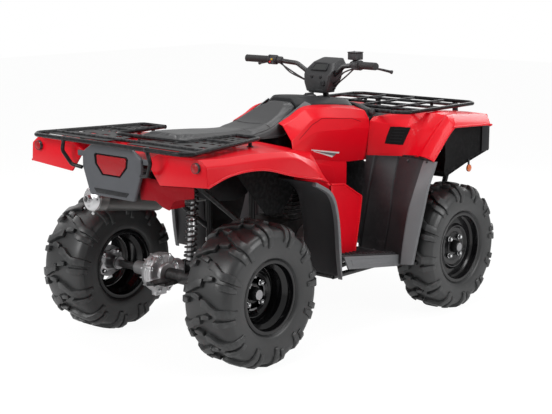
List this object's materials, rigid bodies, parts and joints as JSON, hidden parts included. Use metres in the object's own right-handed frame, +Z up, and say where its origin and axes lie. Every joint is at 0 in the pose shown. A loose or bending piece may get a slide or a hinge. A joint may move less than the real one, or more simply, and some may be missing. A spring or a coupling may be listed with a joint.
{
  "type": "utility quad bike",
  "caption": "Four-wheeled utility quad bike with a straddle seat, handlebar steering, front and rear carriers and knobbly low-pressure tyres.",
  "frame": {"origin": "on the ground midway along the vehicle on its centre line", "axes": "+X forwards, +Y to the rider's left, +Z up"},
  "size_m": [2.11, 1.198, 1.2013],
  "materials": {
    "frame_paint": "semi-gloss black paint",
    "engine_castings": "as-cast aluminium",
    "exhaust_metal": "heat-toned steel",
    "shock_steel": "black coil and damper",
    "body_red": "gloss red moulded plastic",
    "seat_cover": "charcoal grained vinyl",
    "dark_plastic": "textured black plastic",
    "grey_plastic": "textured dark grey plastic",
    "rack_paint": "satin black powder coat",
    "lens_clear": "clear lens",
    "lens_red": "red prismatic reflector",
    "lens_amber": "amber prismatic reflector",
    "bar_paint": "satin black",
    "grip_rubber": "ribbed black rubber",
    "control_plastic": "black moulded plastic",
    "axle_steel": "machined and plated steel",
    "rim_black": "gloss black pressed steel",
    "tyre": "moulded tyre rubber"
  },
  "bodies": {
    "chassis": {"frame_left": "frame_paint", "frame_right": "frame_paint", "frame_cross": "frame_paint", "engine": "engine_castings", "final_drive": "engine_castings", "front_drive": "engine_castings", "exhaust": "exhaust_metal", "swingarm": "frame_paint", "front_arms": "frame_paint", "front_guard": "frame_paint", "hitch": "frame_paint", "rear_shock": "shock_steel", "front_shocks": "shock_steel", "rear_fender": "body_red", "side_panels": "body_red", "front_fenders": "body_red", "leg_guards": "body_red", "seat": "seat_cover", "tank_cover": "dark_plastic", "front_cover": "dark_plastic", "fascia": "dark_plastic", "leg_shields": "dark_plastic", "rear_guards": "dark_plastic", "tank_cap": "dark_plastic", "footwells": "grey_plastic", "rear_flares": "grey_plastic", "tail_panel": "grey_plastic", "rear_rack": "rack_paint", "front_rack": "rack_paint", "headlamps": "lens_clear", "reflectors": "lens_red", "tail_lamp": "lens_red", "front_reflectors": "lens_amber"},
    "steering": {"steering_column": "frame_paint", "handlebar": "bar_paint", "grips": "grip_rubber", "controls_left": "control_plastic", "controls_right": "control_plastic", "console": "control_plastic"},
    "knuckle_left": {"knuckle_left": "axle_steel"},
    "tie_rod_left": {"tie_rod_left": "axle_steel"},
    "front_wheel_left": {"front_rim_left": "rim_black", "front_tyre_left": "tyre", "front_hub_left": "axle_steel"},
    "knuckle_right": {"knuckle_right": "axle_steel"},
    "tie_rod_right": {"tie_rod_right": "axle_steel"},
    "front_wheel_right": {"front_rim_right": "rim_black", "front_tyre_right": "tyre", "front_hub_right": "axle_steel"},
    "rear_wheels": {"rear_axle": "axle_steel", "rear_rim_left": "rim_black", "rear_rim_right": "rim_black", "rear_tyre_left": "tyre", "rear_tyre_right": "tyre"}
  },
  "joints": [
    {"name": "steer", "type": "hinge", "parent": "chassis", "child": "steering", "pos_m": [0.3, 0, 1.04], "axis": [-0.2766, 0, 0.961], "range_deg": [-38, 38]},
    {"name": "rear_wheels_spin", "type": "hinge", "parent": "chassis", "child": "rear_wheels", "pos_m": [-0.665, 0, 0.29477], "axis": [0, 1, 0], "continuous": true},
    {"name": "knuckle_left_turn", "type": "hinge", "parent": "chassis", "child": "knuckle_left", "pos_m": [0.602, 0.44, 0.29477], "axis": [0, 0, 1], "range_deg": [-32, 32]},
    {"name": "tie_rod_left_turn", "type": "hinge", "parent": "knuckle_left", "child": "tie_rod_left", "pos_m": [0.502, 0.43, 0.325], "axis": [0, 0, 1], "range_deg": [-32, 32]},
    {"name": "front_wheel_left_spin", "type": "hinge", "parent": "knuckle_left", "child": "front_wheel_left", "pos_m": [0.602, 0.4975, 0.29477], "axis": [0, 1, 0], "continuous": true},
    {"name": "knuckle_right_turn", "type": "hinge", "parent": "chassis", "child": "knuckle_right", "pos_m": [0.602, -0.44, 0.29477], "axis": [0, 0, 1], "range_deg": [-32, 32]},
    {"name": "tie_rod_right_turn", "type": "hinge", "parent": "knuckle_right", "child": "tie_rod_right", "pos_m": [0.502, -0.43, 0.325], "axis": [0, 0, 1], "range_deg": [-32, 32]},
    {"name": "front_wheel_right_spin", "type": "hinge", "parent": "knuckle_right", "child": "front_wheel_right", "pos_m": [0.602, -0.4975, 0.29477], "axis": [0, 1, 0], "continuous": true}
  ],
  "couplings": [
    {"joint": "knuckle_left_turn", "follows": "steer", "ratio": 0.824},
    {"joint": "tie_rod_left_turn", "follows": "steer", "ratio": -0.824},
    {"joint": "knuckle_right_turn", "follows": "steer", "ratio": 0.824},
    {"joint": "tie_rod_right_turn", "follows": "steer", "ratio": -0.824}
  ]
}
